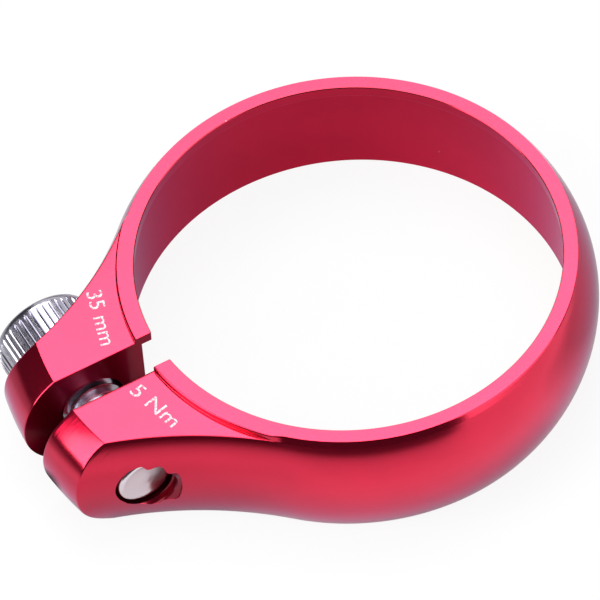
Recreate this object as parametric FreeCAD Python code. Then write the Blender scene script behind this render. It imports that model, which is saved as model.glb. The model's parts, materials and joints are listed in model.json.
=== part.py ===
"""Seatpost clamp: a machined split band that closes on a seat tube with one knurled cross bolt.

Millimetres. +Z is up along the seat tube, z = 0 is the band's lower face and the Z axis is the
axis of the tube. The two ears stand out towards -X and the cross bolt lies along Y, with its head
on the +Y side and its thread in the ear on the -Y side.
"""
import FreeCAD
import Part
import math
import os

V = FreeCAD.Vector

# Band: bore and lip
tube_diameter = 34.9         # seat tube that the band closes on
lip_overhang = 0.85          # inward reach of the lip that rests on the tube's end
lip_thickness = 1.0

# Band: turned outer form
ear_height = 9.8             # flat top of the ears above the lower face
rim_rise = 0.5               # turned rim above the top of the ears
rim_chamfer = 0.12           # broken edges on both sides of the rim's top
rim_wall = 0.3               # outer wall over the bore at the top of the rim
barrel_bulge = 1.5           # swell of the outer wall from the rim to the belt

# Band: ears
slot_width = 3.0
bolt_gap = 4.65              # bolt axis from the wall of the bore
ear_tip_length = 6.0         # tip of the ears past the bolt axis
ear_tip_bulge = 3.0          # swell of the ear ends between their upper and lower edges
ear_width = 15.7             # over both flanks, at the bolt axis and the belt
flank_radius = 30.7          # hollow curve in plan from the ring to the ear, at the belt

# Cross bolt: socket head screw
thread_diameter = 5.0
bolt_length = 12.0           # under the head
tip_chamfer = 0.5
head_diameter = 8.3
head_height = 4.85
head_round = 0.55            # smooth edge at the outer end of the head
knurl_count = 48
knurl_depth = 0.17
knurl_margin = 0.1           # plain strip between the knurl and the smooth edge
socket_across_flats = 4.0
socket_depth = 2.5
socket_drill_angle = 120.0

# Bolt in the ears
seat_web = 3.5               # ear between the slot and the seat of the head
thread_clearance = 0.05      # each side, bolt in its tapped hole
shank_clearance = 0.25       # each side, bolt through the ear under its head
head_clearance = 0.25        # each side, head in its pocket

# Values that follow
bore_radius = tube_diameter / 2
lip_radius = bore_radius - lip_overhang
band_height = ear_height + rim_rise
lip_underside = band_height - lip_thickness
rim_shoulder = band_height - rim_chamfer
belt_height = ear_height / 2
belt_radius = bore_radius + rim_wall + barrel_bulge
barrel_rise = band_height - belt_height
barrel_radius = (barrel_rise ** 2 + barrel_bulge ** 2) / (2 * barrel_bulge)
flank_distance = belt_radius + flank_radius
bolt_offset = bore_radius + bolt_gap
bolt_height = belt_height
ear_reach = bolt_offset + ear_tip_length
head_seat = slot_width / 2 + seat_web
cut_margin = 2.0             # overrun of cutting shapes past what they cut

UP = V(0, 0, 1)
HEAD_SIDE = V(0, 1, 0)
ORIGIN = V(0, 0, 0)


def barrel_at(height):
    """Radius of the barrel-shaped outer wall at a height."""
    rise = height - belt_height
    return belt_radius - barrel_radius + math.sqrt(barrel_radius ** 2 - rise ** 2)


def polyline(points):
    """Straight edges through the points, in order."""
    return [Part.LineSegment(a, b).toShape() for a, b in zip(points, points[1:])]


def arc(first, middle, last):
    """Circular edge through three points."""
    return Part.Arc(first, middle, last).toShape()


def face_of(edges):
    """Flat face inside a closed run of edges."""
    return Part.Face(Part.Wire(Part.__sortEdges__(edges)))


def turned(edges, axis_point=ORIGIN, axis=UP):
    """Solid of revolution of a section."""
    return face_of(edges).revolve(axis_point, axis, 360)


def rod(radius, start, end):
    """Cylinder along the bolt axis between two positions on it."""
    foot = V(-bolt_offset, start, bolt_height)
    return Part.makeCylinder(radius, end - start, foot, HEAD_SIDE)


# Ring: barrel turned about the tube's axis, solid until the bore is cut
ring_foot = V(barrel_at(0), 0, 0)
ring_belt = V(belt_radius, 0, belt_height)
ring_shoulder = V(barrel_at(rim_shoulder), 0, rim_shoulder)
ring_top = V(barrel_at(rim_shoulder) - rim_chamfer, 0, band_height)
ring = turned(
    [arc(ring_foot, ring_belt, ring_shoulder)]
    + polyline([ring_shoulder, ring_top, V(0, 0, band_height), ORIGIN, ring_foot])
)

# Ears: a wedge of the turned ear end, hollowed on both flanks by waisted form cutters
# whose upright section is the barrel's own, so that each flank runs smoothly into the ring
end_foot = V(ear_reach - ear_tip_bulge, 0, 0)
end_tip = V(ear_reach, 0, bolt_height)
end_top = V(ear_reach - ear_tip_bulge, 0, ear_height)
ears = turned(
    [arc(end_foot, end_tip, end_top)]
    + polyline([end_top, V(0, 0, ear_height), ORIGIN, end_foot])
)
bolt_point_angle = math.atan2(ear_width / 2, bolt_offset)
bolt_point_distance = math.hypot(ear_width / 2, bolt_offset)
flank_cosine = (flank_distance ** 2 + bolt_point_distance ** 2 - flank_radius ** 2) / (
    2 * flank_distance * bolt_point_distance
)
flank_angle = bolt_point_angle + math.acos(flank_cosine)
wedge_reach = (ear_reach + cut_margin) / math.cos(flank_angle)
wedge_x = -wedge_reach * math.cos(flank_angle)
wedge_y = wedge_reach * math.sin(flank_angle)
wedge = face_of(
    polyline([ORIGIN, V(wedge_x, wedge_y, 0), V(wedge_x, -wedge_y, 0), ORIGIN])
).extrude(V(0, 0, ear_height))
ears = ears.common(wedge)
waist_low = V(flank_distance - barrel_at(0), 0, 0)
waist_belt = V(flank_radius, 0, belt_height)
waist_high = V(flank_distance - barrel_at(band_height), 0, band_height)
form_cutter = turned(
    [arc(waist_low, waist_belt, waist_high)]
    + polyline(
        [
            waist_high,
            V(0, 0, band_height),
            V(0, 0, -cut_margin),
            V(waist_low.x, 0, -cut_margin),
            waist_low,
        ]
    )
)
for side in (-1, 1):
    cutter = form_cutter.copy()
    cutter.translate(
        V(-flank_distance * math.cos(flank_angle), side * flank_distance * math.sin(flank_angle), 0)
    )
    ears = ears.cut(cutter)

band = ring.fuse(ears).removeSplitter()

# Bore with the lip left standing at its upper end
bore = turned(
    polyline(
        [
            V(0, 0, -cut_margin),
            V(bore_radius, 0, -cut_margin),
            V(bore_radius, 0, lip_underside),
            V(lip_radius, 0, lip_underside),
            V(lip_radius, 0, rim_shoulder),
            V(lip_radius + rim_chamfer + cut_margin, 0, band_height + cut_margin),
            V(0, 0, band_height + cut_margin),
            V(0, 0, -cut_margin),
        ]
    )
)
band = band.cut(bore)

# Slot between the ears
slot_run = ear_reach + cut_margin
slot = Part.makeBox(
    slot_run,
    slot_width,
    band_height + 2 * cut_margin,
    V(-slot_run, -slot_width / 2, -cut_margin),
)
band = band.cut(slot)

# Bolt holes: tapped in one ear, clear in the other with a pocket for the head
hole_run = ear_width
tapped_hole = rod(thread_diameter / 2, -hole_run, 0)
clear_hole = rod(thread_diameter / 2 + shank_clearance, 0, head_seat)
head_pocket = rod(head_diameter / 2 + head_clearance, head_seat, hole_run)
for hole in (tapped_hole, clear_hole, head_pocket):
    band = band.cut(hole)

# Bolt: turned about its own axis, head outwards from the seat
shank_radius = thread_diameter / 2 - thread_clearance
head_radius = head_diameter / 2
head_end = head_seat + head_height
bolt_tip = head_seat - bolt_length


def on_bolt(radius, position):
    """Point of the bolt's section at a radius and a position along its axis."""
    return V(-bolt_offset + radius, position, bolt_height)


round_start = on_bolt(head_radius, head_end - head_round)
round_middle = on_bolt(
    head_radius - head_round * (1 - math.sqrt(0.5)), head_end - head_round * (1 - math.sqrt(0.5))
)
round_end = on_bolt(head_radius - head_round, head_end)
bolt = turned(
    polyline(
        [
            round_end,
            on_bolt(0, head_end),
            on_bolt(0, bolt_tip),
            on_bolt(shank_radius - tip_chamfer, bolt_tip),
            on_bolt(shank_radius, bolt_tip + tip_chamfer),
            on_bolt(shank_radius, head_seat),
            on_bolt(head_radius, head_seat),
            round_start,
        ]
    )
    + [arc(round_start, round_middle, round_end)],
    V(-bolt_offset, 0, bolt_height),
    HEAD_SIDE,
)

# Straight knurl: V grooves up the side of the head from its seat
groove_half_angle = math.pi / knurl_count
groove_outside = head_radius + knurl_depth
groove_half_width = groove_outside * math.tan(groove_half_angle)
groove = face_of(
    polyline(
        [
            on_bolt(head_radius - knurl_depth, head_seat),
            V(-bolt_offset + groove_outside, head_seat, bolt_height + groove_half_width),
            V(-bolt_offset + groove_outside, head_seat, bolt_height - groove_half_width),
            on_bolt(head_radius - knurl_depth, head_seat),
        ]
    )
).extrude(V(0, head_height - head_round - knurl_margin, 0))
knurl = []
for index in range(knurl_count):
    cut = groove.copy()
    cut.rotate(V(-bolt_offset, 0, bolt_height), HEAD_SIDE, index * 360 / knurl_count)
    knurl.append(cut)
bolt = bolt.cut(Part.makeCompound(knurl))

# Hexagon socket with the cone that its drill leaves
corner_radius = socket_across_flats / 2 / math.cos(math.pi / 6)
corners = []
for index in range(7):
    turn = math.radians(60 * index)
    corners.append(
        V(
            -bolt_offset + corner_radius * math.cos(turn),
            head_end,
            bolt_height + corner_radius * math.sin(turn),
        )
    )
socket = face_of(polyline(corners)).extrude(V(0, -socket_depth, 0))
cone_depth = socket_across_flats / 2 / math.tan(math.radians(socket_drill_angle / 2))
drill_cone = Part.makeCone(
    socket_across_flats / 2,
    0,
    cone_depth,
    V(-bolt_offset, head_end - socket_depth, bolt_height),
    -HEAD_SIDE,
)
bolt = bolt.cut(socket).cut(drill_cone)

os.makedirs("parts", exist_ok=True)
for name, shape in (("clamp_band", band), ("clamp_bolt", bolt)):
    shape.exportStep(f"parts/{name}.step")
    size = shape.optimalBoundingBox()
    print(
        name,
        "valid" if shape.isValid() else "not valid",
        "solids", len(shape.Solids),
        "faces", len(shape.Faces),
        f"volume {shape.Volume:.1f}",
        f"box {size.XLength:.2f} x {size.YLength:.2f} x {size.ZLength:.2f}",
    )
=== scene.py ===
"""Looks of the seatpost clamp: red band, knurled cross bolt, two etched marks and the studio.

Metres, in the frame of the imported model: +Z up along the seat tube, the ears towards -X and the
head of the cross bolt on the +Y side. The far ear is the one with the head, and the near ear is
the one on the -Y side, with the tapped hole.
"""
import json
import math

import bmesh
import bpy
from mathutils import Matrix, Vector


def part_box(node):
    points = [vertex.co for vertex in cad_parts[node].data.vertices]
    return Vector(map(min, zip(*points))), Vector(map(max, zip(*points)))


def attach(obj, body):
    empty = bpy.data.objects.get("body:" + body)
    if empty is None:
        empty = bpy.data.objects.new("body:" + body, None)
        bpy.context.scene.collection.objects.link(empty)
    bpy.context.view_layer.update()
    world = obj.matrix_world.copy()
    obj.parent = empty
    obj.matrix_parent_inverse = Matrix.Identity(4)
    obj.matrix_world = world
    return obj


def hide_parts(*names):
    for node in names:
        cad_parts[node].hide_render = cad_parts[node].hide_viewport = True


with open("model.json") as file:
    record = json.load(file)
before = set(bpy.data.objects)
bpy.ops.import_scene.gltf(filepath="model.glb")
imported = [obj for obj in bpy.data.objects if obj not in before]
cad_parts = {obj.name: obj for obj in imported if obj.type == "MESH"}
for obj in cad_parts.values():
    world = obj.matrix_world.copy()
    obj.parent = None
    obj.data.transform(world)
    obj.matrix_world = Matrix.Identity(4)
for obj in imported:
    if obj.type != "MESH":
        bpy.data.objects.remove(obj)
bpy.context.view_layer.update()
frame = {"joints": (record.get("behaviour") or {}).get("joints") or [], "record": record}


# Band: a single ring of aluminium, turned inside and out and then milled to two ears, with a slot
# between them so that it can close on the seat tube. It is fine blasted and then anodised red.

mm = 0.001
band_low, band_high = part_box("clamp_band")
bolt_axis = Vector(frame["joints"][0]["pos_m"])
bore_radius = frame["record"]["mounts"][0]["dims"]["r_mm"] * mm
lip_overhang = 0.85 * mm
lip_thickness = 1.0 * mm
lip_radius = bore_radius - lip_overhang
band_height = band_high.z
belt_radius = band_high.x
belt_height = bolt_axis.z
ear_height = 2 * belt_height
lip_underside = band_height - lip_thickness
rim_chamfer = 0.05 * mm
rim_shoulder = band_height - rim_chamfer
barrel_bulge = 1.5 * mm
slot_half = 1.5 * mm
ear_reach = math.hypot(band_low.x, slot_half)
ear_tip_bulge = 3.0 * mm
ear_half_width = 7.85 * mm
flank_radius = 30.7 * mm
step_fillet = 0.04 * mm
step_round = 0.15 * mm
step_end = math.radians(39.5)
step_fade = math.radians(4.5)
edge_break = 0.09 * mm


def arc_radius(rise, bulge):
    """Radius of the arc that swells by bulge over a half chord of rise."""
    return (rise ** 2 + bulge ** 2) / (2 * bulge)


barrel_curve = arc_radius(band_height - belt_height, barrel_bulge)
end_curve = arc_radius(belt_height, ear_tip_bulge)
flank_distance = belt_radius + flank_radius
bolt_point = Vector((-bolt_axis.x, ear_half_width))
flank_angle = math.atan2(bolt_point.y, bolt_point.x) + math.acos(
    (flank_distance ** 2 + bolt_point.length_squared - flank_radius ** 2)
    / (2 * flank_distance * bolt_point.length)
)


def barrel_at(height):
    """Radius of the ring's barrel-shaped outside."""
    return belt_radius - barrel_curve + math.sqrt(barrel_curve ** 2 - (height - belt_height) ** 2)


def ring_at(height):
    """Radius of the ring's outside: the barrel, with the chamfer at the top of the rim."""
    over = max(0.0, height - rim_shoulder)
    return barrel_at(height - over) - over


step_radius = barrel_at(ear_height)


def step_at(height):
    """Radius of the upright wall from the ears to the rim, with a fillet and a rounded top."""
    foot = max(0.0, ear_height + step_fillet - height)
    over = max(0.0, height - band_height + step_round)
    fillet = step_fillet - math.sqrt(max(0.0, step_fillet ** 2 - foot ** 2))
    rounding = step_round - math.sqrt(max(0.0, step_round ** 2 - over ** 2))
    return step_radius + fillet - rounding


def ear_end_at(height):
    """Radius, about the tube's axis, of the rounded ends of the ears."""
    return ear_reach - end_curve + math.sqrt(end_curve ** 2 - (height - belt_height) ** 2)


def flank_point(side, height, turn):
    """Point of an ear's hollow flank, by its turn about the axis of the flank from the ring."""
    reach = flank_distance - barrel_at(height)
    return Vector(
        (
            -flank_distance * math.cos(flank_angle) + reach * math.cos(flank_angle + turn),
            side * (flank_distance * math.sin(flank_angle) - reach * math.sin(flank_angle + turn)),
            height,
        )
    )


def hollow_at(angle, height):
    """Radius of a hollow flank about the tube's axis, by its angle from the slot."""
    across = flank_distance * math.sin(flank_angle - angle)
    reach = flank_distance - ring_at(height)
    if across >= reach:
        return math.inf
    return flank_distance * math.cos(flank_angle - angle) - math.sqrt(reach ** 2 - across ** 2)


def round_tube(side, radius, height, angle):
    """Point at a radius about the tube's axis, by its angle from the slot."""
    return Vector((-radius * math.cos(angle), side * radius * math.sin(angle), height))


skin_rows = 30
flank_steps = 34
end_steps = 14
ear_steps = flank_steps + end_steps
ring_steps = 240
fillet_steps = 3
round_steps = 6


def quarter_turn(steps):
    """Angles from 0 to a quarter turn in equal steps."""
    return [math.pi / 2 * step / steps for step in range(steps + 1)]


wall_heights = []
for turn in quarter_turn(fillet_steps):
    wall_heights.append(ear_height + step_fillet * (1 - math.cos(turn)))
for turn in quarter_turn(round_steps):
    wall_heights.append(band_height - step_round * (1 - math.sin(turn)))
rim_rows = [
    (lip_radius + rim_chamfer, band_height),
    (lip_radius, rim_shoulder),
    (lip_radius, lip_underside),
    (bore_radius, lip_underside),
    (bore_radius, belt_height),
    (bore_radius, 0.0),
]
row_count = skin_rows + 1 + len(wall_heights) + len(rim_rows)


def rim_point(side, row, step):
    """Point of the step's wall, the rim, the lip or the bore, in line with the edge of the ear."""
    edge = band_point(side, skin_rows, min(step, flank_steps))
    angle = math.atan2(side * edge.y, -edge.x)
    if row < len(wall_heights):
        height = wall_heights[row]
        lean = max(0.0, min(1.0, (angle - step_end) / step_fade))
        upright = hollow_at(angle, ear_height)
        if lean > 0:
            upright += (hollow_at(angle, height) - upright) * lean
        radius = min(step_at(height), upright)
    else:
        radius, height = rim_rows[row - len(wall_heights)]
    to_slot = max(0, step - flank_steps) / end_steps
    angle += (math.asin(slot_half / radius) - angle) * to_slot
    return round_tube(side, radius, height, angle)


def band_point(side, row, step):
    """Point of a row of the band's section, at a step from the ring to the slot."""
    if row > skin_rows:
        return rim_point(side, row - skin_rows - 1, step)
    height = ear_height * row / skin_rows
    reach = flank_distance - barrel_at(height)
    end = ear_end_at(height)
    corner_turn = math.acos(
        (flank_distance ** 2 + reach ** 2 - end ** 2) / (2 * flank_distance * reach)
    )
    if step <= flank_steps:
        return flank_point(side, height, corner_turn * step / flank_steps)
    corner_angle = flank_angle - math.acos(
        (flank_distance ** 2 + end ** 2 - reach ** 2) / (2 * flank_distance * end)
    )
    slot_angle = math.asin(slot_half / end)
    share = (step - flank_steps) / end_steps
    return round_tube(side, end, height, corner_angle + (slot_angle - corner_angle) * share)


def put_selected(piece, place):
    """Moves each selected vertex to the place of its number along the loop."""
    mesh = bmesh.from_edit_mesh(piece.data)
    number = mesh.verts.layers.int["number"]
    for vertex in mesh.verts:
        if vertex.select:
            vertex.co = place(vertex[number])
    bmesh.update_edit_mesh(piece.data)


def start_loop(name, count, place):
    """Starts a piece in edit mode as a closed loop of numbered vertices."""
    bpy.ops.object.select_all(action="DESELECT")
    bpy.ops.mesh.primitive_circle_add(vertices=count, radius=mm)
    piece = bpy.context.object
    piece.name = name
    piece.data.name = name
    bpy.ops.object.mode_set(mode="EDIT")
    mesh = bmesh.from_edit_mesh(piece.data)
    number = mesh.verts.layers.int.new("number")
    for vertex in mesh.verts:
        vertex[number] = vertex.index
    put_selected(piece, place)
    return piece


def pull_loop(piece, place):
    """Extrudes the selected loop and puts its new vertices in their places."""
    bpy.ops.mesh.extrude_region()
    put_selected(piece, place)


def select_verts(piece, wanted):
    """Selects, in edit mode, the vertices whose place passes a test."""
    bpy.ops.mesh.select_all(action="DESELECT")
    mesh = bmesh.from_edit_mesh(piece.data)
    for vertex in mesh.verts:
        vertex.select = wanted(vertex.co)
    mesh.select_flush(True)
    bmesh.update_edit_mesh(piece.data)


merge_distance = 0.0005 * mm


def close_up(piece):
    """Merges doubled vertices, turns the faces outwards and leaves edit mode."""
    bpy.ops.mesh.select_all(action="SELECT")
    bpy.ops.mesh.remove_doubles(threshold=merge_distance)
    bpy.ops.mesh.normals_make_consistent(inside=False)
    bpy.ops.object.mode_set(mode="OBJECT")


def apply_modifier(piece, kind, **settings):
    """Adds a modifier to a piece and applies it."""
    bpy.context.view_layer.objects.active = piece
    modifier = piece.modifiers.new(kind.lower(), kind)
    for setting, value in settings.items():
        setattr(modifier, setting, value)
    bpy.ops.object.modifier_apply(modifier=modifier.name)


# the section at the root of the near ear is spun round the tube's axis to the root of the far ear
root_tolerance = 0.001 * mm
band = start_loop("band", row_count, lambda row: band_point(-1, row, 0))
bpy.ops.mesh.spin(
    steps=ring_steps,
    angle=2 * (math.pi - flank_angle),
    center=(0, 0, 0),
    axis=(0, 0, -1),
)
for side in (1, -1):
    root = band_point(side, 0, 0)
    root_direction = Vector((root.x, root.y)).normalized()
    select_verts(
        band,
        lambda place: abs(place.x * root_direction.y - place.y * root_direction.x) < root_tolerance
        and place.x * root_direction.x + place.y * root_direction.y > 0,
    )
    for step in range(1, ear_steps + 1):
        pull_loop(band, lambda row: band_point(side, row, step))
    bpy.ops.mesh.edge_face_add()
close_up(band)


def break_edges(piece, weight_of):
    """Bevels the edges of a piece by the weight that each is given."""
    mesh = bmesh.new()
    mesh.from_mesh(piece.data)
    weight = mesh.edges.layers.float.new("bevel_weight_edge")
    for edge in mesh.edges:
        edge[weight] = weight_of(edge)
    mesh.to_mesh(piece.data)
    mesh.free()
    apply_modifier(
        piece,
        "BEVEL",
        width=edge_break,
        segments=2,
        limit_method="WEIGHT",
        use_clamp_overlap=False,
    )


sharp_edge = math.radians(24)
level_tolerance = 0.01 * mm
full_shelf = 6 * edge_break


def band_edge_weight(edge):
    """Full weight on the band's sharp outer edges, less where an ear's top runs out."""
    if len(edge.link_faces) != 2 or not edge.is_convex:
        return 0.0
    middle = (edge.verts[0].co + edge.verts[1].co) / 2
    if edge.calc_face_angle() < sharp_edge or middle.z > ear_height + level_tolerance:
        return 0.0
    if middle.z < ear_height - level_tolerance:
        return 1.0
    shelf = Vector((middle.x, middle.y)).length - step_at(ear_height)
    return max(0.0, min(1.0, shelf / full_shelf))


break_edges(band, band_edge_weight)

# the bolt's holes are cut with turned cutters: the one of the head's pocket rounds its mouth off,
# and the one of the tapped hole leaves ridges of thread past the bolt's tip, out through the flank
thread_pitch = 0.8 * mm
thread_radius = 2.5 * mm
thread_ridge = 0.38 * mm
thread_breaks = ((0.0, 1.0), (0.14, 1.0), (0.44, 0.0), (0.70, 0.0))
thread_start = 0.35
thread_lead = thread_pitch / 2
ring_pitch = thread_pitch / len(thread_breaks)
clear_radius = 2.75 * mm
pocket_radius = 4.4 * mm
head_seat = 5.0 * mm
bolt_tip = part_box("clamp_bolt")[0].y
mouth_round = 0.08 * mm
mouth_steps = 4
mouth_overlap = 0.05
ring_sides = 192
overrun = 2.0 * mm
pocket_overlap = 0.5 * mm
thread_out = -ear_half_width - overrun


def bolt_ring(radius, along, angle):
    """Point about the bolt's axis, right-handed about +Y from straight up."""
    return Vector(
        (
            bolt_axis.x + radius * math.sin(angle),
            along,
            bolt_axis.z + radius * math.cos(angle),
        )
    )


def thread_line(ring, angle):
    """Position along the bolt, and height from root 0 to crest 1, where a ring meets the thread.

    Each ring runs along an edge of the thread and steps to the next edge four times a turn.
    """
    breaks = len(thread_breaks)
    edge = ring - math.floor(breaks * angle / math.tau + 0.5)
    phase, height = thread_breaks[edge % breaks]
    return thread_pitch * (edge // breaks + phase + thread_start + angle / math.tau), height


def plain_ring(radius, along):
    """Gives the places of a plain ring about the bolt's axis."""
    return lambda number: bolt_ring(radius, along, math.tau * number / ring_sides)


def tapped_ring(ring):
    """Gives the places of a ring of the tapped hole, with thread past the tip of the bolt only."""

    def place(number):
        angle = math.tau * number / ring_sides
        along, height = thread_line(ring, angle)
        past_tip = min(1.0, max(0.0, (bolt_tip - along) / thread_lead))
        return bolt_ring(thread_radius - thread_ridge * height * past_tip, along, angle)

    return place


def far_flank_at(point):
    """Position along Y of the far ear's flank in line with a point."""
    across = point.x + flank_distance * math.cos(flank_angle)
    reach = flank_distance - barrel_at(point.z)
    return flank_distance * math.sin(flank_angle) - math.sqrt(reach ** 2 - across ** 2)


def mouth_ring(radius, flare, depth):
    """Gives the places of a ring that follows the far ear's flank at a depth below it."""

    def place(number):
        wall = bolt_ring(radius + flare, 0.0, math.tau * number / ring_sides)
        wall.y = far_flank_at(wall) - depth
        return wall

    return place


def turned_piece(name, rings):
    """Piece, closed at both ends, through a row of rings along the bolt's axis."""
    piece = start_loop(name, ring_sides, rings[0])
    bpy.ops.mesh.edge_face_add()
    for ring in rings[1:]:
        pull_loop(piece, ring)
    close_up(piece)
    apply_modifier(piece, "TRIANGULATE", quad_method="SHORTEST_DIAGONAL")
    return piece


tapped_rings = [plain_ring(thread_radius, 0.0)]
for ring in range(math.floor(bolt_tip / ring_pitch), math.floor(thread_out / ring_pitch), -1):
    tapped_rings.append(tapped_ring(ring))
tapped_rings.append(plain_ring(thread_radius, thread_out - thread_pitch))
pocket_rings = [plain_ring(pocket_radius, head_seat)]
for turn in quarter_turn(mouth_steps):
    flare = mouth_round * (1 - math.cos(turn))
    depth = mouth_round * (1 - mouth_overlap - math.sin(turn))
    pocket_rings.append(mouth_ring(pocket_radius, flare, depth))
pocket_rings.append(mouth_ring(pocket_radius, mouth_round, -overrun))
clear_rings = [
    plain_ring(clear_radius, 0.0),
    plain_ring(clear_radius, head_seat + pocket_overlap),
]
cutters = [
    turned_piece("tapped_hole", tapped_rings),
    turned_piece("clear_hole", clear_rings),
    turned_piece("head_pocket", pocket_rings),
]
for cutter in cutters:
    apply_modifier(band, "BOOLEAN", operation="DIFFERENCE", solver="EXACT", object=cutter)
    bpy.data.objects.remove(cutter)


def smooth_finish(piece, angle):
    """Shades a piece smooth up to an angle, with flat faces kept flat.

    The modifier that keeps them flat passes over faces under a millionth of a square metre, so it
    works on the piece in millimetres.
    """
    bpy.ops.object.select_all(action="DESELECT")
    piece.select_set(True)
    bpy.context.view_layer.objects.active = piece
    bpy.ops.object.shade_smooth_by_angle(angle=math.radians(angle))
    bpy.ops.transform.resize(value=(1 / mm,) * 3, center_override=(0, 0, 0))
    bpy.ops.object.transform_apply(location=True, rotation=True, scale=True)
    apply_modifier(piece, "WEIGHTED_NORMAL", mode="FACE_AREA", weight=50, keep_sharp=True)
    bpy.ops.transform.resize(value=(mm,) * 3, center_override=(0, 0, 0))
    bpy.ops.object.transform_apply(location=True, rotation=True, scale=True)


smooth_finish(band, angle=32)


def new_material(name):
    """Adds a material and gives its node tree and its surface shader."""
    material = bpy.data.materials.new(name)
    material.use_nodes = True
    tree = material.node_tree
    return material, tree, tree.nodes["Principled BSDF"]


def add_node(tree, kind, inputs=None, **settings):
    """Adds a node with its settings; inputs, by name or number, get a value or a linked socket."""
    node = tree.nodes.new(kind)
    for setting, value in settings.items():
        setattr(node, setting, value)
    for name, value in (inputs or {}).items():
        if isinstance(value, bpy.types.NodeSocket):
            tree.links.new(value, node.inputs[name])
        else:
            node.inputs[name].default_value = value
    return node


def mapped_range(tree, value, low, high, to_low, to_high):
    """Maps a value from one range to another, held at both ends."""
    node = add_node(
        tree,
        "ShaderNodeMapRange",
        {"Value": value, "From Min": low, "From Max": high, "To Min": to_low, "To Max": to_high},
    )
    return node.outputs["Result"]


def mixed_colour(tree, share, first, second):
    """Mixes two colours by a share."""
    inputs = {0: share, 6: first, 7: second}
    return add_node(tree, "ShaderNodeMix", inputs, data_type="RGBA").outputs[2]


def combined(tree, operation, first, second):
    """Joins two values, or a value and a number, by an operation."""
    inputs = {0: first, 1: second}
    return add_node(tree, "ShaderNodeMath", inputs, operation=operation).outputs["Value"]


def scaled(tree, place, factors):
    """Stretches a place by a factor along each axis."""
    inputs = {0: place, 1: factors}
    return add_node(tree, "ShaderNodeVectorMath", inputs, operation="MULTIPLY").outputs["Vector"]


def distance_from(tree, place, centre, axes):
    """Distance of a place from a point, counted along the chosen axes only."""
    inputs = {0: place, 1: centre}
    offset = add_node(tree, "ShaderNodeVectorMath", inputs, operation="SUBTRACT").outputs["Vector"]
    inputs = {0: scaled(tree, offset, axes)}
    return add_node(tree, "ShaderNodeVectorMath", inputs, operation="LENGTH").outputs["Value"]


def noise(tree, place, scale, detail, roughness):
    """Noise of a number of features to the metre."""
    inputs = {"Vector": place, "Scale": scale, "Detail": detail, "Roughness": roughness}
    return add_node(tree, "ShaderNodeTexNoise", inputs).outputs["Fac"]


def spread(tree, pattern, low, high):
    """Spreads a noise, which is mostly between 0.3 and 0.7, over a range."""
    return mapped_range(tree, pattern, 0.3, 0.7, low, high)


def give_finish(piece, material):
    """Gives a piece one material all over."""
    piece.data.materials.clear()
    piece.data.materials.append(material)


pale_dye = (0.66, 0.002, 0.041, 1.0)
full_dye = (0.72, 0.003, 0.047, 1.0)
# a dark red, painted as shade in the slot, in the bolt's holes and along the rim's inner edge
painted_shade_red = (0.10, 0.0, 0.006, 1.0)
speck_pink = (0.95, 0.42, 0.50, 1.0)
in_plan = (1.0, 1.0, 0.0)
anodised, tree, shader = new_material("anodised_red")
place = add_node(tree, "ShaderNodeTexCoord").outputs["Object"]
cloud = noise(tree, place, scale=260.0, detail=3.0, roughness=0.6)
blast = noise(tree, place, scale=9000.0, detail=2.0, roughness=0.7)
reach = distance_from(tree, place, (0.0, 0.0, 0.0), in_plan)
across = distance_from(tree, place, (0.0, 0.0, 0.0), (0.0, 1.0, 0.0))
place_parts = add_node(tree, "ShaderNodeSeparateXYZ", {"Vector": place})
height = place_parts.outputs["Z"]

# the dye is a little cloudy; the slot, the bolt's holes and a thin line along the rim's inner edge
# are painted a deeper red, as painted shade
dye_and_shade = mixed_colour(tree, spread(tree, cloud, 0.0, 1.0), pale_dye, full_dye)
hole_margin = 0.03 * mm
hole_depth = 0.02 * mm
hole_depth_full = 0.06 * mm
from_bolt = distance_from(tree, place, bolt_axis, (1.0, 0.0, 1.0))
flank_axis = (
    -flank_distance * math.cos(flank_angle),
    -flank_distance * math.sin(flank_angle),
    0.0,
)
from_flank = distance_from(tree, place, flank_axis, in_plan)
from_belt = combined(tree, "SUBTRACT", height, belt_height)
swell = combined(tree, "DIVIDE", combined(tree, "POWER", from_belt, 2.0), 2 * barrel_curve)
depth = combined(tree, "SUBTRACT", from_flank, combined(tree, "ADD", swell, flank_radius))
in_hole = combined(
    tree,
    "MULTIPLY",
    mapped_range(tree, from_bolt, thread_radius + hole_margin, thread_radius, 0.0, 0.7),
    mapped_range(tree, depth, hole_depth, hole_depth_full, 0.0, 1.0),
)
# painted shade: a thin dark line on the rim's top along its inner edge
line_edge = lip_radius + 0.13 * mm
line_full = lip_radius + 0.06 * mm
line_foot = band_height - 0.03 * mm
line_top = band_height - 0.01 * mm
rim_shade_line = combined(
    tree,
    "MULTIPLY",
    mapped_range(tree, reach, line_edge, line_full, 0.0, 0.75),
    mapped_range(tree, height, line_foot, line_top, 0.0, 1.0),
)
slot_edge = slot_half + 0.02 * mm
slot_full = slot_half + 0.01 * mm
slot_side = -1.0 * mm
in_slot = combined(
    tree,
    "MULTIPLY",
    mapped_range(tree, across, slot_edge, slot_full, 0.0, 1.0),
    mapped_range(tree, place_parts.outputs["X"], 0.0, slot_side, 0.0, 1.0),
)
# painted shade: the holes, the rim's inner edge and half of it in the slot
painted_shade = combined(tree, "MAXIMUM", in_hole, rim_shade_line)
painted_shade = combined(tree, "MAXIMUM", painted_shade, combined(tree, "MULTIPLY", in_slot, 0.5))
dye_and_shade = mixed_colour(tree, painted_shade, dye_and_shade, painted_shade_red)

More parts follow.
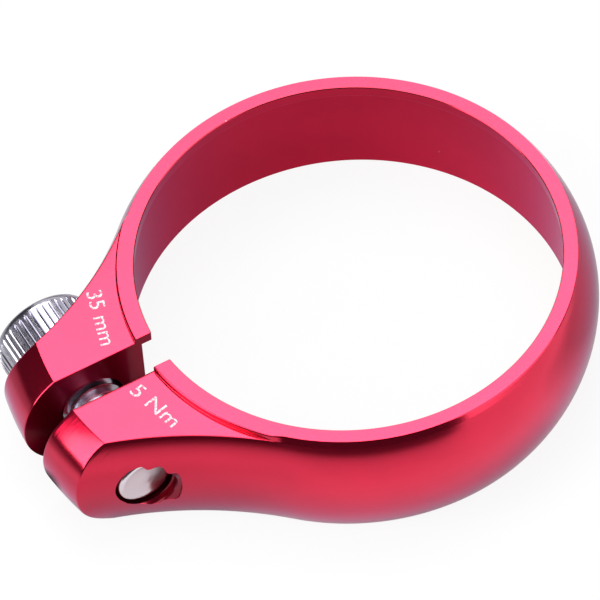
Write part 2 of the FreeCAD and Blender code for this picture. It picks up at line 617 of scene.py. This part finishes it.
# pale specks, a fraction of a millimetre wide, where grit has marked the surface
cells = add_node(tree, "ShaderNodeTexVoronoi", {"Vector": place, "Scale": 650.0})
marked = add_node(tree, "ShaderNodeSeparateColor", {"Color": cells.outputs["Color"]})
speck = combined(
    tree,
    "MULTIPLY",
    mapped_range(tree, cells.outputs["Distance"], 0.05, 0.03, 0.0, 0.7),
    mapped_range(tree, marked.outputs["Red"], 0.93, 0.94, 0.0, 1.0),
)
dye_and_shade = mixed_colour(tree, speck, dye_and_shade, speck_pink)
tree.links.new(dye_and_shade, shader.inputs["Base Color"])
shader.inputs["Metallic"].default_value = 0.95

# the faces of the slot are left dull by the saw, and so are the holes by the drill
satin = spread(tree, blast, 0.14, 0.18)
dull = combined(tree, "MULTIPLY", combined(tree, "MAXIMUM", in_hole, in_slot), 0.25)
tree.links.new(combined(tree, "ADD", satin, dull), shader.inputs["Roughness"])

# the sealed skin of the dye is thinner in the bore and the slot, which shine less
bore_edge = bore_radius + 0.05 * mm
bore_full = bore_radius + 0.02 * mm
bore_top = band_height - 0.05 * mm
bore_top_full = band_height - 0.10 * mm
in_bore = combined(
    tree,
    "MULTIPLY",
    mapped_range(tree, reach, bore_edge, bore_full, 0.0, 1.0),
    mapped_range(tree, height, bore_top, bore_top_full, 0.0, 1.0),
)
thin = combined(tree, "MAXIMUM", in_bore, in_slot)
tree.links.new(mapped_range(tree, thin, 0.0, 1.0, 1.0, 0.45), shader.inputs["Coat Weight"])
shader.inputs["Specular Tint"].default_value = (0.75, 0.55, 0.95, 1.0)
shader.inputs["Coat Roughness"].default_value = 0.14
shader.inputs["Coat IOR"].default_value = 1.4

# the blasting leaves a fine grain, and the cutter's marks still run up and down the ear ends
grain_depth = 0.01 * mm
cut_depth = 0.009 * mm
ear_end_start = 25.0 * mm
ear_end_full = 25.2 * mm
grain = add_node(
    tree, "ShaderNodeBump", {"Strength": 0.12, "Distance": grain_depth, "Height": blast}
)
up_and_down = scaled(tree, place, (0.05, 1.0, 0.05))
streak = noise(tree, up_and_down, scale=12000.0, detail=1.0, roughness=0.5)
ear_end = mapped_range(tree, reach, ear_end_start, ear_end_full, 0.0, 1.0)
cut_marks = add_node(
    tree,
    "ShaderNodeBump",
    {
        "Strength": ear_end,
        "Distance": cut_depth,
        "Height": streak,
        "Normal": grain.outputs["Normal"],
    },
)
tree.links.new(cut_marks.outputs["Normal"], shader.inputs["Normal"])
give_finish(band, anodised)

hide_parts("clamp_band")
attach(band, "band")


# Marks: the size of the tube on the far ear and the tightening torque on the near one, etched
# white through the dye with a laser, so that they lie level with the tops of the ears.

burnt_pink = (0.80, 0.16, 0.26, 1.0)
burnt_white = (0.92, 0.84, 0.86, 1.0)
mark_depth = 0.012 * mm
letter_size = 1.75 * mm
etched, tree, shader = new_material("etched_white")
place = add_node(tree, "ShaderNodeTexCoord").outputs["Object"]
burn = noise(tree, place, scale=7000.0, detail=2.0, roughness=0.6)
burnt = mapped_range(tree, burn, 0.40, 0.52, 0.0, 1.0)
chalk = mixed_colour(tree, burnt, burnt_pink, burnt_white)
tree.links.new(chalk, shader.inputs["Base Color"])
tree.links.new(spread(tree, burn, 0.45, 0.7), shader.inputs["Roughness"])


def etch(name, words, length, middle, reading):
    """Etches words on the ear tops, to a length along the direction they are read in."""
    bpy.ops.object.select_all(action="DESELECT")
    bpy.ops.object.text_add(location=(0, 0, 0))
    mark = bpy.context.object
    mark.name = name
    mark.data.body = words
    mark.data.size = letter_size
    mark.data.align_x = "CENTER"
    mark.data.align_y = "CENTER"
    mark.data.extrude = mark_depth
    bpy.ops.object.convert(target="MESH")
    mark = bpy.context.object
    mark.scale.x = length / mark.dimensions.x
    mark.rotation_euler.z = math.atan2(reading.y, reading.x)
    mark.location = (middle.x, middle.y, ear_height)
    bpy.ops.object.transform_apply(location=True, rotation=True, scale=True)
    give_finish(mark, etched)
    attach(mark, "band")


etch(
    "size_mark",
    "35 mm",
    length=5.3 * mm,
    middle=Vector((-19.1, 5.1)) * mm,
    reading=Vector((-0.27, -0.96)),
)
etch(
    "torque_mark",
    "5 Nm",
    length=4.8 * mm,
    middle=Vector((-19.5, -4.5)) * mm,
    reading=Vector((0.24, -0.97)),
)


# Cross bolt: a stainless socket head screw, M5 x 12, with a straight knurl rolled round its head.
# It goes through the far ear, seats in its pocket and turns in the thread of the near ear.

# each of the 48 grooves of the knurl takes four sides of a ring, and is deep at the first
knurl_profile = (1.0, 0.0, 0.0, 0.0)
head_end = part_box("clamp_bolt")[1].y
head_radius = 4.15 * mm
head_round = 0.55 * mm
head_steps = 4
knurl_depth = 0.17 * mm
knurl_margin = 0.1 * mm
knurl_lead = 0.08 * mm
knurl_run_out = 0.25 * mm
knurl_end = head_end - head_round - knurl_margin
shank_radius = 2.45 * mm
bolt_ridge = 0.43 * mm
thread_neck = 0.9 * mm
thread_end = head_seat - thread_neck
tip_flat = 1.90 * mm
tip_round = 0.3 * mm
tip_dish = 0.12 * mm
socket_half = 2.0 * mm
socket_depth = 2.5 * mm
socket_floor = head_end - socket_depth
socket_lead = 0.18 * mm
drill_share = 0.98
drill_half_angle = math.radians(60)
cone_depth = socket_half / math.tan(drill_half_angle)


def threaded_ring(ring):
    """Gives the places of a ring of the bolt's thread, which fades out towards the head."""

    def place(number):
        angle = math.tau * number / ring_sides
        along, height = thread_line(ring, angle)
        full = min(1.0, max(0.0, (thread_end - along) / thread_pitch))
        return bolt_ring(shank_radius - bolt_ridge * full * (1 - height), along, angle)

    return place


def knurled_ring(depth, along):
    """Gives the places of a ring round the head, with grooves of a depth."""

    def ring(number):
        radius = head_radius - depth * knurl_profile[number % len(knurl_profile)]
        return bolt_ring(radius, along, math.tau * number / ring_sides)

    return ring


def socket_ring(half, along):
    """Gives the places of a hexagonal ring of a half width across flats."""

    def ring(number):
        angle = math.tau * number / ring_sides
        from_flat = (angle % (math.pi / 3)) - math.pi / 6
        return bolt_ring(half / math.cos(from_flat), along, angle)

    return ring


rings = []
for share in (0.35, 0.7, 0.9, 1.0):
    rings.append(plain_ring(tip_flat * share, bolt_tip + tip_dish * (1 - share ** 4)))
for share in (0.4, 0.75, 1.0):
    rings.append(
        plain_ring(
            tip_flat + tip_round * math.sin(share * math.pi / 2),
            bolt_tip + tip_round * (1 - math.cos(share * math.pi / 2)),
        )
    )
first_ring = math.ceil((bolt_tip + tip_round) / ring_pitch) + 1
last_ring = math.floor(thread_end / ring_pitch) + 1
for ring in range(first_ring, last_ring):
    rings.append(threaded_ring(ring))
rings.append(plain_ring(shank_radius, head_seat))
rings.append(plain_ring(head_radius - knurl_depth, head_seat))
rings.append(knurled_ring(knurl_depth, head_seat + knurl_lead))
for share in (0.25, 0.5, 0.75):
    rings.append(knurled_ring(knurl_depth, head_seat + (knurl_end - head_seat) * share))
rings.append(knurled_ring(knurl_depth, knurl_end - knurl_run_out))
rings.append(knurled_ring(0.0, knurl_end))
for turn in quarter_turn(head_steps):
    rings.append(
        plain_ring(
            head_radius - head_round * (1 - math.cos(turn)),
            head_end - head_round * (1 - math.sin(turn)),
        )
    )
rings.append(plain_ring(socket_half / math.cos(math.pi / 6) + socket_lead, head_end))
rings.append(socket_ring(socket_half, head_end - socket_lead))
rings.append(socket_ring(socket_half, socket_floor))
rings.append(plain_ring(socket_half * drill_share, socket_floor))
rings.append(plain_ring(0.0, socket_floor - cone_depth))

bolt = turned_piece("bolt", rings)
smooth_finish(bolt, angle=35)

grey_steel = (0.56, 0.54, 0.63, 1.0)
clear_steel = (0.67, 0.64, 0.73, 1.0)
# a dark grey, painted as shade in the grooves of the knurl
groove_shade_grey = (0.10, 0.10, 0.12, 1.0)
# a pale pink, painted as a highlight on the end of the tip
tip_highlight_pink = (0.93, 0.83, 0.88, 1.0)
steel, tree, shader = new_material("bolt_steel")
place = add_node(tree, "ShaderNodeTexCoord").outputs["Object"]
tarnish = noise(tree, place, scale=900.0, detail=4.0, roughness=0.65)
tint = mixed_colour(tree, spread(tree, tarnish, 0.0, 1.0), grey_steel, clear_steel)

# the grooves of the knurl are painted dark, as painted shade, and the end at the tip is painted
# pale pink, as a painted highlight
side_start = 3.6 * mm
side_full = 3.7 * mm
side_end = knurl_end - 0.2 * mm
groove_top = head_radius - 0.04 * mm
from_axis = distance_from(tree, place, bolt_axis, (1.0, 0.0, 1.0))
along = add_node(tree, "ShaderNodeSeparateXYZ", {"Vector": place}).outputs["Y"]
on_side = combined(
    tree,
    "MULTIPLY",
    mapped_range(tree, from_axis, side_start, side_full, 0.0, 1.0),
    mapped_range(tree, along, knurl_end, side_end, 0.0, 1.0),
)
groove_foot = mapped_range(tree, from_axis, head_radius - knurl_depth, groove_top, 0.75, 0.0)
groove_shade = combined(tree, "MULTIPLY", on_side, groove_foot)
tint = mixed_colour(tree, groove_shade, tint, groove_shade_grey)
# painted highlight: the end of the tip is painted a pale pink
tip_highlight = mapped_range(tree, along, bolt_tip + tip_round, bolt_tip + tip_dish, 0.0, 1.0)
tint = mixed_colour(tree, tip_highlight, tint, tip_highlight_pink)
tree.links.new(tint, shader.inputs["Base Color"])
shader.inputs["Metallic"].default_value = 1.0
tree.links.new(spread(tree, tarnish, 0.17, 0.26), shader.inputs["Roughness"])
give_finish(bolt, steel)

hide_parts("clamp_bolt")
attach(bolt, "bolt")


# Studio: the clamp lies on a white table under a large soft lamp over and behind it and a paler one
# over its front. A tall lamp with a small one above it stands on the left, a low one on the right
# and a weak one behind. The side of the camera is dark.

bpy.ops.object.select_all(action="DESELECT")
table_size = 4.0
bpy.ops.mesh.primitive_plane_add(size=table_size, location=(0, 0, 0))
table = bpy.context.object
table.name = "table"
table_pale = (0.86, 0.86, 0.87, 1.0)
black = (0.0, 0.0, 0.0, 1.0)
plain_white = (1.0, 1.0, 1.0, 1.0)
dark_start = 25 * mm
dark_end = 140 * mm
dark_side = Vector((-0.97, -0.24, 0.0))
dark_edge = 16 * mm
white, tree, shader = new_material("table_white")
shader.inputs["Roughness"].default_value = 0.9
shader.inputs["Specular IOR Level"].default_value = 0.0
place = add_node(tree, "ShaderNodeTexCoord").outputs["Object"]
path = add_node(tree, "ShaderNodeLightPath")


def beyond(direction, start, end, most):
    """Rises from 0 to a most, on the table, between two lines across a direction."""
    inputs = {0: place, 1: direction}
    along = add_node(tree, "ShaderNodeVectorMath", inputs, operation="DOT_PRODUCT")
    return mapped_range(tree, along.outputs["Value"], start, end, 0.0, most)


def patch(middle, inner, outer, most, axes=in_plan):
    """Falls from a most to 0, on the table, between two distances from a middle."""
    away = distance_from(tree, place, middle, axes)
    return mapped_range(tree, away, inner, outer, most, 0.0)


# in the metal the table fades out to painted black on the dark side, and it carries painted shadow
# on the side of the bolt's head, past the ring on the right, at the ears, inside the clamp and in
# the slot
unseen = mapped_range(tree, path.outputs["Is Camera Ray"], 0.0, 1.0, 1.0, 0.0)
far_off = distance_from(tree, place, (0.0, 0.0, 0.0), in_plan)
dark = combined(
    tree,
    "MULTIPLY",
    mapped_range(tree, far_off, dark_start, dark_end, 0.0, 0.94),
    beyond(dark_side, 0.0, dark_edge, 1.0),
)
dim_left = beyond(Vector((-0.17, 0.98, 0.0)), start=14 * mm, end=26 * mm, most=0.48)
dim_right = patch((34 * mm, -8 * mm, 0.0), inner=14 * mm, outer=24 * mm, most=0.45)
dim_ears = patch((-27 * mm, -4 * mm, 0.0), inner=12 * mm, outer=22 * mm, most=0.26)
outside = mapped_range(tree, far_off, bore_radius, belt_radius, 0.0, 1.0)
dim_sides = combined(tree, "ADD", dim_left, dim_right)
dim_outside = combined(tree, "MULTIPLY", combined(tree, "ADD", dim_sides, dim_ears), outside)
dim_inside = patch((0.0, 0.0, 0.0), inner=11 * mm, outer=belt_radius, most=0.44)
slot_stretch = (0.27, 1.4, 0.0)
dim_slot = patch((-19 * mm, 0.0, 0.0), inner=2.2 * mm, outer=3.4 * mm, most=0.84, axes=slot_stretch)
shaded = combined(tree, "ADD", combined(tree, "ADD", dim_outside, dim_inside), dim_slot)
dim = combined(tree, "MULTIPLY", unseen, shaded)
dimmed = mixed_colour(tree, dim, table_pale, black)
surface = mixed_colour(tree, combined(tree, "MULTIPLY", unseen, dark), dimmed, black)
tree.links.new(surface, shader.inputs["Base Color"])

# the camera sees it white, and metal or glass sees a share of it glowing in its pale colour with
# the painted shadow and black
white_share = mapped_range(tree, path.outputs["Is Camera Ray"], 0.0, 1.0, 0.0, 0.90)
mirrored = combined(
    tree, "MAXIMUM", path.outputs["Is Glossy Ray"], path.outputs["Is Transmission Ray"]
)
mirrored_share = mapped_range(tree, mirrored, 0.0, 1.0, 0.0, 0.25)
background = mixed_colour(tree, path.outputs["Is Camera Ray"], surface, plain_white)
glow = add_node(tree, "ShaderNodeEmission", {"Color": background, "Strength": 1.0})
shown = combined(tree, "MAXIMUM", white_share, mirrored_share)
mixed = add_node(
    tree,
    "ShaderNodeMixShader",
    {0: shown, 1: shader.outputs["BSDF"], 2: glow.outputs["Emission"]},
)
tree.links.new(mixed.outputs["Shader"], tree.nodes["Material Output"].inputs["Surface"])
give_finish(table, white)


def soft_lamp(name, azimuth, elevation, distance, width, height, brightness):
    """Adds a rectangular lamp that looks at the clamp, seen in metal at a given brightness."""
    lamp = bpy.data.lights.new(name, "AREA")
    lamp.shape = "RECTANGLE"
    lamp.size = width
    lamp.size_y = height
    lamp.energy = brightness * math.pi * width * height
    holder = bpy.data.objects.new(name, lamp)
    bpy.context.scene.collection.objects.link(holder)
    across = math.radians(azimuth)
    up = math.radians(elevation)
    direction = Vector(
        (math.cos(up) * math.cos(across), math.cos(up) * math.sin(across), math.sin(up))
    )
    holder.location = direction * distance
    holder.rotation_euler = direction.to_track_quat("Z", "Y").to_euler()


# name, azimuth and elevation in degrees, distance, width and height in metres, brightness
lamps = (
    ("lamp_over", 76, 67, 0.85, 0.60, 0.54, 4.8),
    ("lamp_left", 169, 30, 0.7, 0.36, 0.60, 5.0),
    ("lamp_left_high", 178, 57, 0.7, 0.45, 0.22, 1.3),
    ("lamp_right", -50, 18, 0.6, 0.55, 0.40, 1.9),
    ("lamp_back", 58, 24, 0.7, 0.75, 0.34, 0.7),
    ("lamp_top", -106, 70, 0.8, 0.75, 0.60, 1.5),
)
for lamp in lamps:
    soft_lamp(*lamp)

world_grey = (0.045, 0.045, 0.052, 1.0)
world = bpy.data.worlds.new("studio")
world.use_nodes = True
sky = world.node_tree.nodes["Background"]
sky.inputs["Color"].default_value = world_grey
sky.inputs["Strength"].default_value = 1.0
bpy.context.scene.world = world
bpy.context.scene.view_settings.view_transform = "Standard"


# Camera: a long lens about 0.6 m off, high over the near ear. It was fitted to the edges of the
# rim, the lip and the bore, so its place and its turn are measured values.

camera_place = Vector((-158.333, -324.206, 481.159)) * mm
camera_right = Vector((0.87155352, -0.48767974, -0.05062549))
camera_back = Vector((-0.25906723, -0.54571729, 0.79691706))
camera_data = bpy.data.cameras.new("camera")
camera_data.sensor_width = 36.0
camera_data.lens = 461.13
camera_data.clip_start = 0.05
camera = bpy.data.objects.new("camera", camera_data)
bpy.context.scene.collection.objects.link(camera)
turn = Matrix((camera_right, camera_back.cross(camera_right), camera_back)).transposed()
camera.matrix_world = Matrix.Translation(camera_place) @ turn.to_4x4()
bpy.context.scene.camera = camera
